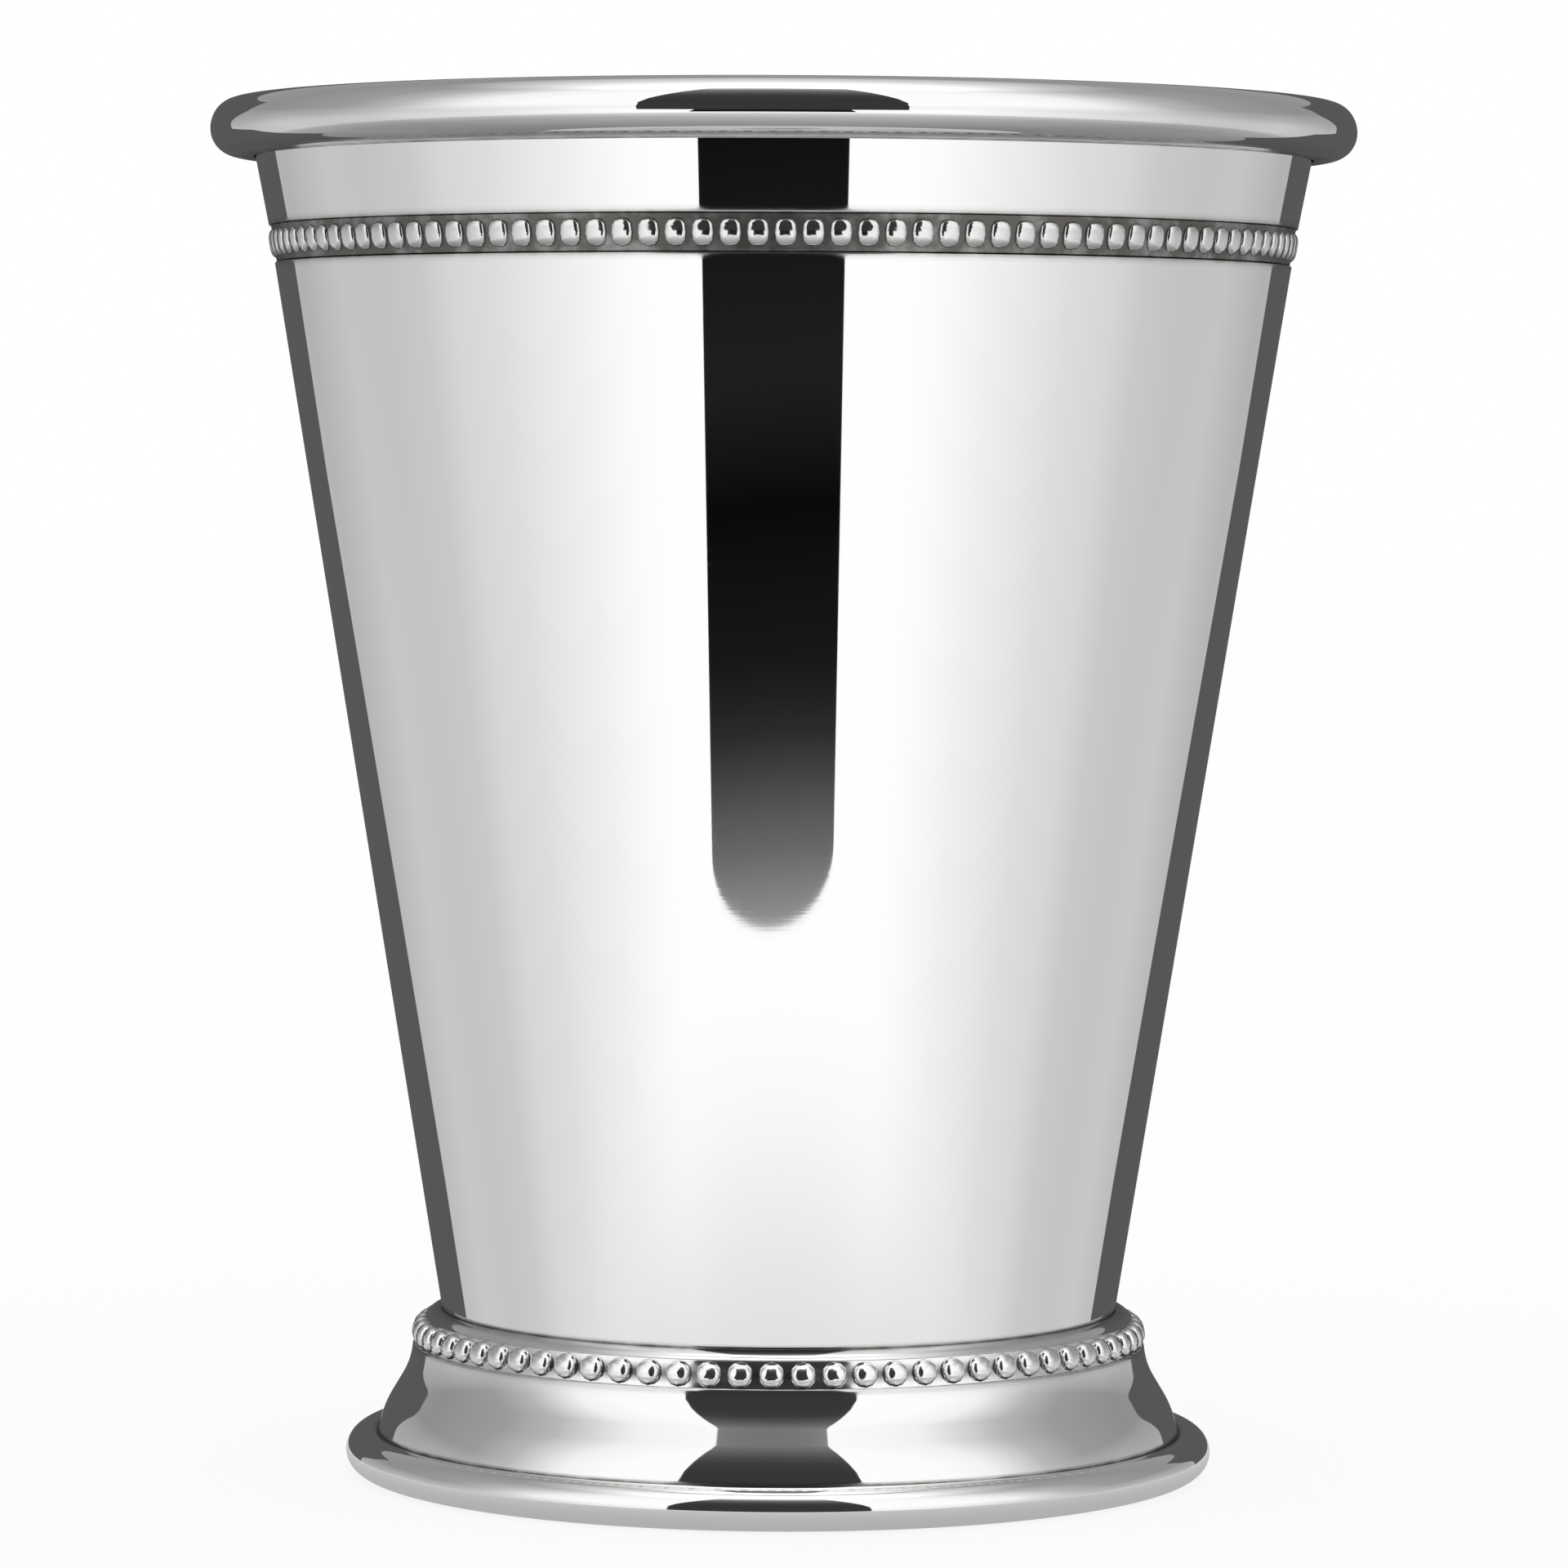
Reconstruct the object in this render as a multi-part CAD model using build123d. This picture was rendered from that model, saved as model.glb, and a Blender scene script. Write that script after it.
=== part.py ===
from build123d import *
import os
from math import acos, asin, atan2, cos, degrees, hypot, pi, radians, sin, tan

# Footed julep cup: sizes in millimetres, axis on Z, rest plane at z = 0

cup_height = 106.9  # rest plane to the top of the rim
sheet = 0.9  # metal sheet of the cup and of the foot
solder_film = 0.03  # gap left for solder between pieces that are joined

# Tapered wall, measured on its outer face
floor_level = 8.0  # underside of the cup's floor
wall_low_radius = 25.69  # at floor_level
wall_high_radius = 41.63  # where the wall's line reaches cup_height
floor_corner_radius = 3.0

# Rim, rolled outward over a wire
rim_flare = 1.9  # degrees that the wall opens further above the beaded strip
rim_wire_radius = 1.05
rim_under_slope = 14.0  # degrees, straight underside from the roll down to the wall
rim_lip_gap = 0.12  # free edge of the underside to the wall

# Beaded strip in a rolled groove under the rim
groove_below_top = 11.06  # middle of the groove, down from the rim's top
groove_depth = 0.6  # square to the wall
rim_strip_thickness = 0.42
rim_strip_border = 0.34  # plain strip above and below the beads
rim_strip_side_gap = 0.06  # to the groove's sides
rim_bead_half_width = 0.82  # at the strip's face
rim_bead_half_height = 1.06
rim_bead_relief = 0.35  # bead top above the strip
rim_bead_gap = 0.37  # between neighbours at the strip's face
rim_bead_turn = 0.27  # degrees from the front

# Pedestal foot, from the wall outward and from the collar down, on its outer face
collar_level = 12.76  # top of the shoulder, where it meets the wall
shoulder_radius = 1.6
neck_radius = 28.75  # top of the cove
neck_level = 9.85
neck_slope = 4.0  # degrees that the cove faces up at the neck
cove_radius = 7.3
skirt_slope = 28.5  # degrees that the straight skirt faces up
skirt_run = 2.2  # length of the straight skirt
bell_radius = 5.6  # convex curve from the skirt down to the base roll
base_radius = 33.87  # widest point of the foot
base_roll_radius = 1.64

# Beaded strip on a slanted seat between the foot's shoulder and its neck
foot_band_radius = 28.2  # middle of the strip's face
foot_band_level = 11.07
foot_band_lean = 15.0  # degrees from upright, facing up
foot_strip_thickness = 0.25
foot_strip_border = 0.06
foot_strip_side_gap = 0.03
foot_shelf_lip = 0.47  # shelf under the strip, square to the seat
foot_bead_half_width = 0.97  # at the strip's face
foot_bead_half_height = 1.01
foot_bead_relief = 0.42
foot_bead_gap = 0.42
foot_bead_turn = -1.0  # degrees from the front

# Solder fillet under the collar
solder_height = 1.3
solder_hollow = 0.2  # how far its lower face dips upward

bead_sink = 0.05  # bead root inside its strip
front_angle = -90.0  # the front looks along -Y

wall_tilt = atan2(wall_high_radius - wall_low_radius, cup_height - floor_level)
rim_tilt = wall_tilt + radians(rim_flare)
rim_hollow_radius = rim_wire_radius + solder_film
rim_roll_radius = rim_hollow_radius + sheet
rim_level = cup_height - rim_roll_radius
groove_level = cup_height - groove_below_top
half_rim_strip = rim_bead_half_height + rim_strip_border
half_groove = half_rim_strip + rim_strip_side_gap
half_foot_strip = foot_bead_half_height + foot_strip_border
half_seat = half_foot_strip + foot_strip_side_gap


def wall_radius(level):
    run = (level - floor_level) / (cup_height - floor_level)
    return wall_low_radius + run * (wall_high_radius - wall_low_radius)


def wall_point(level, depth=0.0, along=0.0):
    # A point of the wall's outer line, moved up along the wall and square into it
    return (
        wall_radius(level) - depth * cos(wall_tilt) + along * sin(wall_tilt),
        level + depth * sin(wall_tilt) + along * cos(wall_tilt),
    )


def band_point(depth, along):
    # A point of the foot's beaded strip, square into its face and up along it
    lean = radians(foot_band_lean)
    return (
        foot_band_radius - depth * cos(lean) - along * sin(lean),
        foot_band_level - depth * sin(lean) + along * cos(lean),
    )


def on_circle(centre, radius, angle):
    return (centre[0] + radius * cos(radians(angle)), centre[1] + radius * sin(radians(angle)))


def angle_to(centre, point):
    return degrees(atan2(point[1] - centre[1], point[0] - centre[0]))


def turned(lines):
    # A closed outline in (radius, level), turned about the cup's axis
    return revolve(Plane.XZ * make_face(lines), Axis.Z)


groove_top = wall_point(groove_level, 0, half_groove)
rim_wall_radius = groove_top[0] + (rim_level - groove_top[1]) * tan(rim_tilt)
rim_centre = (rim_wall_radius + rim_hollow_radius / cos(rim_tilt), rim_level)


def lip_edge(radius, angle):
    # Where a line that leaves the roll's circle at this angle comes up to the wall
    start = on_circle(rim_centre, radius, angle)
    slant = radians(angle) + rim_tilt
    run = (rim_hollow_radius + radius * cos(slant) - rim_lip_gap) / -sin(slant)
    return (start[0] + run * sin(radians(angle)), start[1] - run * cos(radians(angle)))


def cup_body():
    tilt = degrees(wall_tilt)
    low = floor_level + floor_corner_radius
    corner = (wall_radius(low) - floor_corner_radius / cos(wall_tilt), low)
    corner_inner_radius = floor_corner_radius - sheet
    under_angle = rim_under_slope - 90
    roll_end = 180 - degrees(rim_tilt)
    roll_sweep = roll_end - under_angle
    ridge_half = half_groove + sheet
    ridge_foot = ridge_half + groove_depth

    outer_wall = [
        on_circle(corner, floor_corner_radius, -tilt),
        wall_point(groove_level, 0, -half_groove),
        wall_point(groove_level, groove_depth, -half_groove),
        wall_point(groove_level, groove_depth, half_groove),
        groove_top,
        on_circle(rim_centre, rim_hollow_radius, roll_end),
    ]
    inner_wall = [
        on_circle(rim_centre, rim_roll_radius, roll_end),
        wall_point(groove_level, sheet, ridge_foot),
        wall_point(groove_level, sheet + groove_depth, ridge_half),
        wall_point(groove_level, sheet + groove_depth, -ridge_half),
        wall_point(groove_level, sheet, -ridge_foot),
        on_circle(corner, corner_inner_radius, -tilt),
    ]
    # Outside and the roll's hollow up to its free edge, then the visible side back down
    lines = [
        Line((0, floor_level), (corner[0], floor_level)),
        CenterArc(corner, floor_corner_radius, -90, 90 - tilt),
        Polyline(outer_wall),
        CenterArc(rim_centre, rim_hollow_radius, under_angle, roll_sweep),
        Polyline(
            on_circle(rim_centre, rim_hollow_radius, under_angle),
            lip_edge(rim_hollow_radius, under_angle),
            lip_edge(rim_roll_radius, under_angle),
            on_circle(rim_centre, rim_roll_radius, under_angle),
        ),
        CenterArc(rim_centre, rim_roll_radius, under_angle, roll_sweep),
        Polyline(inner_wall),
        CenterArc(corner, corner_inner_radius, -90, 90 - tilt),
        Line((corner[0], floor_level + sheet), (0, floor_level + sheet)),
        Line((0, floor_level + sheet), (0, floor_level)),
    ]
    return turned(lines)


def rim_wire():
    return Pos(0, 0, rim_level) * Torus(rim_centre[0], rim_wire_radius)


def bead(half_width, half_height, relief):
    # A domed bead facing +X with its strip's face at x = 0, cut off inside the strip
    round_radius = (half_width**2 + relief**2) / (2 * relief)
    tall_radius = round_radius * half_height / half_width
    right_half = Pos(round_radius, 0) * Rectangle(2 * round_radius, 3 * tall_radius)
    profile = Ellipse(round_radius, tall_radius) & right_half
    whole = revolve(Plane.XZ * profile, Axis.Z)
    size = relief + bead_sink
    keep = Pos(relief - size / 2, 0, 0) * Box(size, 4 * half_width, 4 * half_height)
    return Pos(relief - round_radius, 0, 0) * whole & keep


def beaded_strip(outline, face, lean, pitch, turn, one_bead):
    # Face is the middle of the strip's face as (radius, level)
    count = round(2 * pi * face[0] / pitch)
    strip = turned([Polyline(outline, close=True)])
    placed = Pos(face[0], 0, face[1]) * Rot(0, degrees(lean), 0) * one_bead
    beads = [Rot(0, 0, front_angle + turn + i * 360 / count) * placed for i in range(count)]
    return strip.fuse(*beads)


def rim_bead_band():
    back = groove_depth - solder_film
    front = back - rim_strip_thickness
    outline = [
        wall_point(groove_level, back, -half_rim_strip),
        wall_point(groove_level, front, -half_rim_strip),
        wall_point(groove_level, front, half_rim_strip),
        wall_point(groove_level, back, half_rim_strip),
    ]
    face = wall_point(groove_level, front)
    pitch = 2 * rim_bead_half_width + rim_bead_gap
    one_bead = bead(rim_bead_half_width, rim_bead_half_height, rim_bead_relief)
    return beaded_strip(outline, face, wall_tilt, pitch, rim_bead_turn, one_bead)


collar_low_level = collar_level - sheet
seat_depth = foot_strip_thickness + solder_film


def seat_inner_radius(level):
    # Back of the slanted seat's sheet
    back = band_point(seat_depth + sheet, 0)
    return back[0] - (level - back[1]) * tan(radians(foot_band_lean))


def foot_shell():
    shoulder = (wall_radius(collar_level) + solder_film, collar_level - shoulder_radius)
    neck = (neck_radius, neck_level)
    roll = (base_radius - base_roll_radius, base_roll_radius)

    # Shoulder: an arc from the wall that ends level with the top of the seat
    seat_middle = band_point(seat_depth, 0)
    lean = radians(foot_band_lean)
    rise = (shoulder[1] - seat_middle[1]) * cos(lean) - (shoulder[0] - seat_middle[0]) * sin(lean)
    shoulder_end = degrees(asin((half_seat - rise) / shoulder_radius) + lean)

    # Cove: hollow side outward, its slope grows from the neck to the skirt
    cove = on_circle(neck, cove_radius, neck_slope)
    hip = on_circle(cove, cove_radius, skirt_slope + 180)
    cove_inner_radius = cove_radius + sheet
    cove_sweep = skirt_slope - neck_slope

    # Skirt: straight, then a bell that turns down on to the base roll
    slant = radians(skirt_slope)
    skirt_end = (hip[0] + skirt_run * sin(slant), hip[1] - skirt_run * cos(slant))
    bell = on_circle(skirt_end, bell_radius, skirt_slope + 180)
    bell_inner_radius = bell_radius - sheet
    away = hypot(roll[0] - bell[0], roll[1] - bell[1])
    side = (bell_radius**2 + away**2 - base_roll_radius**2) / (2 * bell_radius * away)
    crease_slope = angle_to(bell, roll) + degrees(acos(side))
    crease_angle = angle_to(roll, on_circle(bell, bell_radius, crease_slope))
    bell_sweep = skirt_slope - crease_slope
    base_inner = on_circle(bell, bell_inner_radius, crease_slope)

    lines = [
        CenterArc(shoulder, shoulder_radius, shoulder_end, 90 - shoulder_end),
        Polyline(
            on_circle(shoulder, shoulder_radius, shoulder_end),
            band_point(seat_depth, half_seat),
            band_point(seat_depth, -half_seat),
            band_point(seat_depth - foot_shelf_lip, -half_seat),
            neck,
        ),
        CenterArc(cove, cove_radius, neck_slope + 180, cove_sweep),
        Line(hip, skirt_end),
        CenterArc(bell, bell_radius, crease_slope, bell_sweep),
        CenterArc(roll, base_roll_radius, -90, 90 + crease_angle),
        Polyline((roll[0], 0), (base_inner[0], 0), base_inner),
        CenterArc(bell, bell_inner_radius, crease_slope, bell_sweep),
        Line(
            on_circle(bell, bell_inner_radius, skirt_slope),
            on_circle(cove, cove_inner_radius, skirt_slope + 180),
        ),
        CenterArc(cove, cove_inner_radius, neck_slope + 180, cove_sweep),
        Polyline(
            on_circle(cove, cove_inner_radius, neck_slope + 180),
            band_point(seat_depth + sheet, -half_seat / 2),
            (seat_inner_radius(collar_low_level), collar_low_level),
            (wall_radius(collar_low_level) + solder_film, collar_low_level),
            on_circle(shoulder, shoulder_radius, 90),
        ),
    ]
    return turned(lines)


def foot_bead_band():
    outline = [
        band_point(foot_strip_thickness, -half_foot_strip),
        band_point(0, -half_foot_strip),
        band_point(0, half_foot_strip),
        band_point(foot_strip_thickness, half_foot_strip),
    ]
    pitch = 2 * foot_bead_half_width + foot_bead_gap
    one_bead = bead(foot_bead_half_width, foot_bead_half_height, foot_bead_relief)
    lean = -radians(foot_band_lean)
    return beaded_strip(outline, band_point(0, 0), lean, pitch, foot_bead_turn, one_bead)


def foot_solder_ring():
    high = collar_low_level - solder_film
    low = high - solder_height
    high_outside = seat_inner_radius(high) - solder_film
    low_outside = seat_inner_radius(low) - solder_film
    inside = wall_radius(low) + solder_film
    lines = [
        Polyline(
            (inside, low),
            (wall_radius(high) + solder_film, high),
            (high_outside, high),
            (low_outside, low),
        ),
        ThreePointArc(
            (low_outside, low), ((inside + low_outside) / 2, low + solder_hollow), (inside, low)
        ),
    ]
    return turned(lines)


pieces = {
    "cup_body": cup_body(),
    "rim_wire": rim_wire(),
    "rim_bead_band": rim_bead_band(),
    "foot_shell": foot_shell(),
    "foot_bead_band": foot_bead_band(),
    "foot_solder_ring": foot_solder_ring(),
}
os.makedirs("parts", exist_ok=True)
for node, piece in pieces.items():
    export_step(piece, f"parts/{node}.step")
    print(node, round(piece.volume, 1), piece.bounding_box())
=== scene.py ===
from math import acos, asin, atan2, copysign, cos, degrees, hypot, pi, radians, sin, sqrt, tan

import bmesh
import bpy
from mathutils import Euler, Matrix, Vector


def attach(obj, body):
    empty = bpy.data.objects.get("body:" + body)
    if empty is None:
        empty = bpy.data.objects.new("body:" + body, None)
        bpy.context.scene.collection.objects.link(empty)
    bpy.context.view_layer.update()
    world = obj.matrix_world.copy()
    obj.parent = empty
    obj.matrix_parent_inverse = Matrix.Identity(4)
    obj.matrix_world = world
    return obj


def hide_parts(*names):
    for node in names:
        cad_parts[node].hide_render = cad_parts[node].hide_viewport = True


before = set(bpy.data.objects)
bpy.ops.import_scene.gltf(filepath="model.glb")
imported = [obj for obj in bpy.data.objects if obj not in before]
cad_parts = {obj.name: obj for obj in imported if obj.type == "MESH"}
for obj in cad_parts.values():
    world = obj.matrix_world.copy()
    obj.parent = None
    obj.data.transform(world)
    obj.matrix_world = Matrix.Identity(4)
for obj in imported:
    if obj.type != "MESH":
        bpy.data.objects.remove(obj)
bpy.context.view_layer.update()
scene = bpy.context.scene
scene.view_settings.view_transform = "Standard"
mm = 0.001


# camera

cameraSetup = {
    "distance": 540.35,  # mm in front of the cup's axis
    "aside": 0.24,
    "height": 80.85,
    "pitchDown": 2.859,  # degrees
    "roll": 0.26,
    "lens": 158.396,
    "sensor": 36.0,
    "clip": (0.02, 50.0),  # metres
}


def makeCamera(setup):
    data = bpy.data.cameras.new("photoCamera")
    data.lens = setup["lens"]
    data.sensor_width = setup["sensor"]
    data.clip_start, data.clip_end = setup["clip"]
    camera = bpy.data.objects.new("photoCamera", data)
    camera.location = (setup["aside"] * mm, -setup["distance"] * mm, setup["height"] * mm)
    pitch = Euler((radians(90 - setup["pitchDown"]), 0, 0)).to_matrix()
    camera.rotation_euler = (pitch @ Matrix.Rotation(radians(setup["roll"]), 3, "Z")).to_euler()
    scene.collection.objects.link(camera)
    scene.camera = camera


makeCamera(cameraSetup)
print("camera set")


# node helpers

def node(tree, kind, feeds=None, **settings):
    made = tree.nodes.new(kind)
    for key, value in settings.items():
        setattr(made, key, value)
    for key, value in (feeds or {}).items():
        if isinstance(value, bpy.types.NodeSocket):
            tree.links.new(value, made.inputs[key])
        else:
            made.inputs[key].default_value = value
    return made


def mathNode(tree, operation, first, second=0.0, third=0.0, clamp=False):
    feeds = {0: first, 1: second, 2: third}
    return node(tree, "ShaderNodeMath", feeds, operation=operation, use_clamp=clamp).outputs[0]


def vectorNode(tree, operation, first, second=(0, 0, 0)):
    return node(tree, "ShaderNodeVectorMath", {0: first, 1: second}, operation=operation).outputs[0]


def mixColours(tree, share, first, second, blend="MIX"):
    feeds = {0: share, 6: first, 7: second}
    return node(tree, "ShaderNodeMix", feeds, data_type="RGBA", blend_type=blend).outputs[2]


def newGroup(name, kind, inputs, outputs):
    tree = bpy.data.node_groups.new(name, kind)
    for label, socketType, value in inputs:
        socket = tree.interface.new_socket(label, in_out="INPUT", socket_type=socketType)
        if value is not None:
            socket.default_value = value
    for label, socketType in outputs:
        tree.interface.new_socket(label, in_out="OUTPUT", socket_type=socketType)
    return tree, tree.nodes.new("NodeGroupInput").outputs, tree.nodes.new("NodeGroupOutput").inputs


def newMaterial(name):
    material = bpy.data.materials.new(name)
    material.use_nodes = True
    return material, material.node_tree


# shader groups shared by the metals

def makeSpinLines():
    tree, given, out = newGroup(
        "spinLines", "ShaderNodeTree",
        [("Along", "NodeSocketFloat", 0.0), ("Position", "NodeSocketVector", None),
         ("Density", "NodeSocketFloat", 2.0), ("Sweep", "NodeSocketFloat", 1.5)],
        [("Height", "NodeSocketFloat"), ("Streak", "NodeSocketFloat")])
    unit = vectorNode(tree, "NORMALIZE", vectorNode(tree, "MULTIPLY", given["Position"], (1, 1, 0)))
    swept = node(tree, "ShaderNodeVectorMath", {0: unit, "Scale": given["Sweep"]}, operation="SCALE")
    lift = mathNode(tree, "MULTIPLY", given["Along"], given["Density"])
    upward = node(tree, "ShaderNodeCombineXYZ", {2: lift}).outputs[0]
    place = vectorNode(tree, "ADD", swept.outputs[0], upward)
    fine = node(tree, "ShaderNodeTexNoise", {"Vector": place, "Scale": 1.0, "Detail": 3.0, "Roughness": 0.65})
    wide = node(tree, "ShaderNodeTexNoise", {"Vector": place, "Scale": 0.21, "Detail": 2.0, "Roughness": 0.5})
    tree.links.new(fine.outputs["Fac"], out["Height"])
    tree.links.new(wide.outputs["Fac"], out["Streak"])
    return tree


def makeHandMarks():
    tree, given, out = newGroup(
        "handMarks", "ShaderNodeTree",
        [("Position", "NodeSocketVector", None), ("Scale", "NodeSocketFloat", 55.0),
         ("Cover", "NodeSocketFloat", 0.55)],
        [("Mask", "NodeSocketFloat")])
    cloud = node(tree, "ShaderNodeTexNoise",
                 {"Vector": given["Position"], "Scale": given["Scale"], "Detail": 4.0,
                  "Roughness": 0.55, "Distortion": 0.6})
    patch = node(tree, "ShaderNodeMapRange",
                 {"Value": cloud.outputs["Fac"], "From Min": given["Cover"], "From Max": 0.78},
                 interpolation_type="SMOOTHSTEP")
    ridge = node(tree, "ShaderNodeTexNoise", {"Vector": given["Position"], "Scale": 900.0, "Detail": 2.0})
    tree.links.new(mathNode(tree, "MULTIPLY", patch.outputs["Result"], ridge.outputs["Fac"]), out["Mask"])
    return tree


def makeHairScratches():
    tree, given, out = newGroup(
        "hairScratches", "ShaderNodeTree",
        [("Position", "NodeSocketVector", None), ("Scale", "NodeSocketFloat", 70.0),
         ("Width", "NodeSocketFloat", 0.006)],
        [("Mask", "NodeSocketFloat")])
    bent = node(tree, "ShaderNodeMapping",
                {"Vector": given["Position"], "Rotation": (0.5, 0.2, 0.9), "Scale": (1.0, 0.35, 2.2)})
    cells = node(tree, "ShaderNodeTexVoronoi",
                 {"Vector": bent.outputs[0], "Scale": given["Scale"]}, feature="DISTANCE_TO_EDGE")
    line = node(tree, "ShaderNodeMapRange",
                {"Value": cells.outputs["Distance"], "From Min": given["Width"], "From Max": 0.0})
    where = node(tree, "ShaderNodeTexNoise", {"Vector": given["Position"], "Scale": 120.0, "Detail": 1.0})
    sparse = node(tree, "ShaderNodeMapRange",
                  {"Value": where.outputs["Fac"], "From Min": 0.52, "From Max": 0.68})
    tree.links.new(mathNode(tree, "MULTIPLY", line.outputs["Result"], sparse.outputs["Result"]), out["Mask"])
    return tree


# painted shade in creases, made uneven by a noise; the same mask also roughens the polish there
def makeCreaseShadePaint():
    tree, given, out = newGroup(
        "creaseShadePaint", "ShaderNodeTree",
        [("Position", "NodeSocketVector", None), ("Crease", "NodeSocketFloat", 0.0),
         ("Amount", "NodeSocketFloat", 1.0)],
        [("Mask", "NodeSocketFloat")])
    cloud = node(tree, "ShaderNodeTexNoise",
                 {"Vector": given["Position"], "Scale": 420.0, "Detail": 4.0, "Roughness": 0.6})
    uneven = node(tree, "ShaderNodeMapRange",
                  {"Value": cloud.outputs["Fac"], "From Min": 0.3, "From Max": 0.7, "To Min": 0.55})
    deep = mathNode(tree, "MULTIPLY", given["Crease"], uneven.outputs["Result"])
    tree.links.new(mathNode(tree, "MULTIPLY", deep, given["Amount"], clamp=True), out["Mask"])
    return tree


spinLines = makeSpinLines()
handMarks = makeHandMarks()
hairScratches = makeHairScratches()
creaseShadePaint = makeCreaseShadePaint()


# polished metals: gloss is the least roughness, satin what the inner side adds to it

polish = (0.90, 0.90, 0.895, 1)
# the dark colours below are painted shade, mixed into the polish at creases and bead edges
creaseShadeColour = (0.15, 0.143, 0.133, 1)
creaseRoughness = 0.25
metalLooks = {
    "cupMetal": {
        "colour": polish, "shadeColour": (0.17, 0.162, 0.15, 1), "gloss": 0.015, "satin": 0.17, "smudge": 0.02,
        "scratch": 0.02, "streak": 0.006, "density": 2.4, "lineDepth": 0.0000001, "creaseShading": 0.8},
    "footMetal": {
        "colour": polish, "shadeColour": creaseShadeColour, "gloss": 0.025, "satin": 0.24, "smudge": 0.03,
        "scratch": 0.02, "streak": 0.012, "density": 3.0, "lineDepth": 0.0000003, "creaseShading": 0.9},
    # the rim beads' polish is painted darker than the foot beads', a painted shade
    "rimBeadShadedMetal": {
        "colour": (0.79, 0.79, 0.785, 1), "shadeColour": creaseShadeColour, "gloss": 0.07, "satin": 0.0, "smudge": 0.03,
        "scratch": 0.02, "streak": 0.03, "density": 4.0, "lineDepth": 0.0000002, "creaseShading": 1.4},
    "footBeadMetal": {
        "colour": (0.89, 0.89, 0.885, 1), "shadeColour": creaseShadeColour, "gloss": 0.06, "satin": 0.0, "smudge": 0.03,
        "scratch": 0.02, "streak": 0.03, "density": 4.0, "lineDepth": 0.0000002, "creaseShading": 1.4},
}


def makeMetal(name, look):
    material, tree = newMaterial(name)
    shader = tree.nodes["Principled BSDF"]
    shader.inputs["Metallic"].default_value = 1.0
    place = node(tree, "ShaderNodeTexCoord").outputs["Object"]
    along, inside, crease = [node(tree, "ShaderNodeAttribute", attribute_name=label).outputs["Fac"]
                             for label in ("along", "inside", "crease")]
    lines = node(tree, "ShaderNodeGroup", node_tree=spinLines,
                 feeds={"Along": along, "Position": place, "Density": look["density"]}).outputs
    marks = node(tree, "ShaderNodeGroup", node_tree=handMarks, feeds={"Position": place}).outputs["Mask"]
    scratches = node(tree, "ShaderNodeGroup", node_tree=hairScratches,
                     feeds={"Position": place}).outputs["Mask"]
    # painted shade: the dark colour where the crease mask is, which also adds roughness
    shadeAndDull = node(tree, "ShaderNodeGroup", node_tree=creaseShadePaint,
                feeds={"Position": place, "Crease": crease, "Amount": look["creaseShading"]}).outputs["Mask"]
    tint = mixColours(tree, shadeAndDull, look["colour"], look["shadeColour"])
    tree.links.new(tint, shader.inputs["Base Color"])

    rough = mathNode(tree, "MULTIPLY_ADD", inside, look["satin"], look["gloss"])
    for mask, share in ((marks, look["smudge"]), (scratches, look["scratch"]),
                        (lines["Streak"], look["streak"]), (shadeAndDull, creaseRoughness)):
        rough = mathNode(tree, "ADD", rough, mathNode(tree, "MULTIPLY", mask, share))
    tree.links.new(rough, shader.inputs["Roughness"])

    bump = node(tree, "ShaderNodeBump",
                {"Strength": 1.0, "Distance": look["lineDepth"], "Height": lines["Height"]})
    tree.links.new(bump.outputs["Normal"], shader.inputs["Normal"])
    return material


metals = {name: makeMetal(name, look) for name, look in metalLooks.items()}


# wire and solder, mostly hidden

plainLooks = {
    "wireMetal": {
        "colour": (0.56, 0.56, 0.55, 1), "dark": (0.40, 0.40, 0.39, 1), "rough": 0.35, "grain": 900.0},
    "solderMetal": {
        "colour": (0.62, 0.62, 0.61, 1), "dark": (0.42, 0.42, 0.41, 1), "rough": 0.40, "grain": 700.0},
}


def makePlainMetal(name, look):
    material, tree = newMaterial(name)
    shader = tree.nodes["Principled BSDF"]
    shader.inputs["Metallic"].default_value = 1.0
    place = node(tree, "ShaderNodeTexCoord").outputs["Object"]
    cloud = node(tree, "ShaderNodeTexNoise",
                 {"Vector": place, "Scale": look["grain"], "Detail": 5.0, "Roughness": 0.6}).outputs["Fac"]
    tree.links.new(mixColours(tree, cloud, look["colour"], look["dark"]), shader.inputs["Base Color"])
    rough = node(tree, "ShaderNodeMapRange",
                 {"Value": cloud, "To Min": look["rough"] - 0.1, "To Max": look["rough"] + 0.15})
    tree.links.new(rough.outputs["Result"], shader.inputs["Roughness"])
    bump = node(tree, "ShaderNodeBump", {"Strength": 1.0, "Distance": 0.00004, "Height": cloud})
    tree.links.new(bump.outputs["Normal"], shader.inputs["Normal"])
    return material


plainMetals = {name: makePlainMetal(name, look) for name, look in plainLooks.items()}
print("materials made")


# outlines, in (radius, level) millimetres

def onCircle(centre, radius, angle):
    return (centre[0] + radius * cos(radians(angle)), centre[1] + radius * sin(radians(angle)))


def arc(centre, radius, start, end, step=5.0):
    count = max(2, round(abs(end - start) / step))
    return [onCircle(centre, radius, start + (end - start) * i / count) for i in range(count + 1)]


def apart(a, b):
    return hypot(b[0] - a[0], b[1] - a[1])


def angleTo(centre, point):
    return degrees(atan2(point[1] - centre[1], point[0] - centre[0]))


def between(a, b, share):
    return (a[0] + (b[0] - a[0]) * share, a[1] + (b[1] - a[1]) * share)


softening = {
    "same": 1e-6,  # points closer than this are one
    "sharpTurn": 14.0,  # degrees, gentler corners stay
    "widestTurn": 170.0,
    "share": 0.4,  # most of a side that a round may take
    "steps": 5,
}


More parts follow.
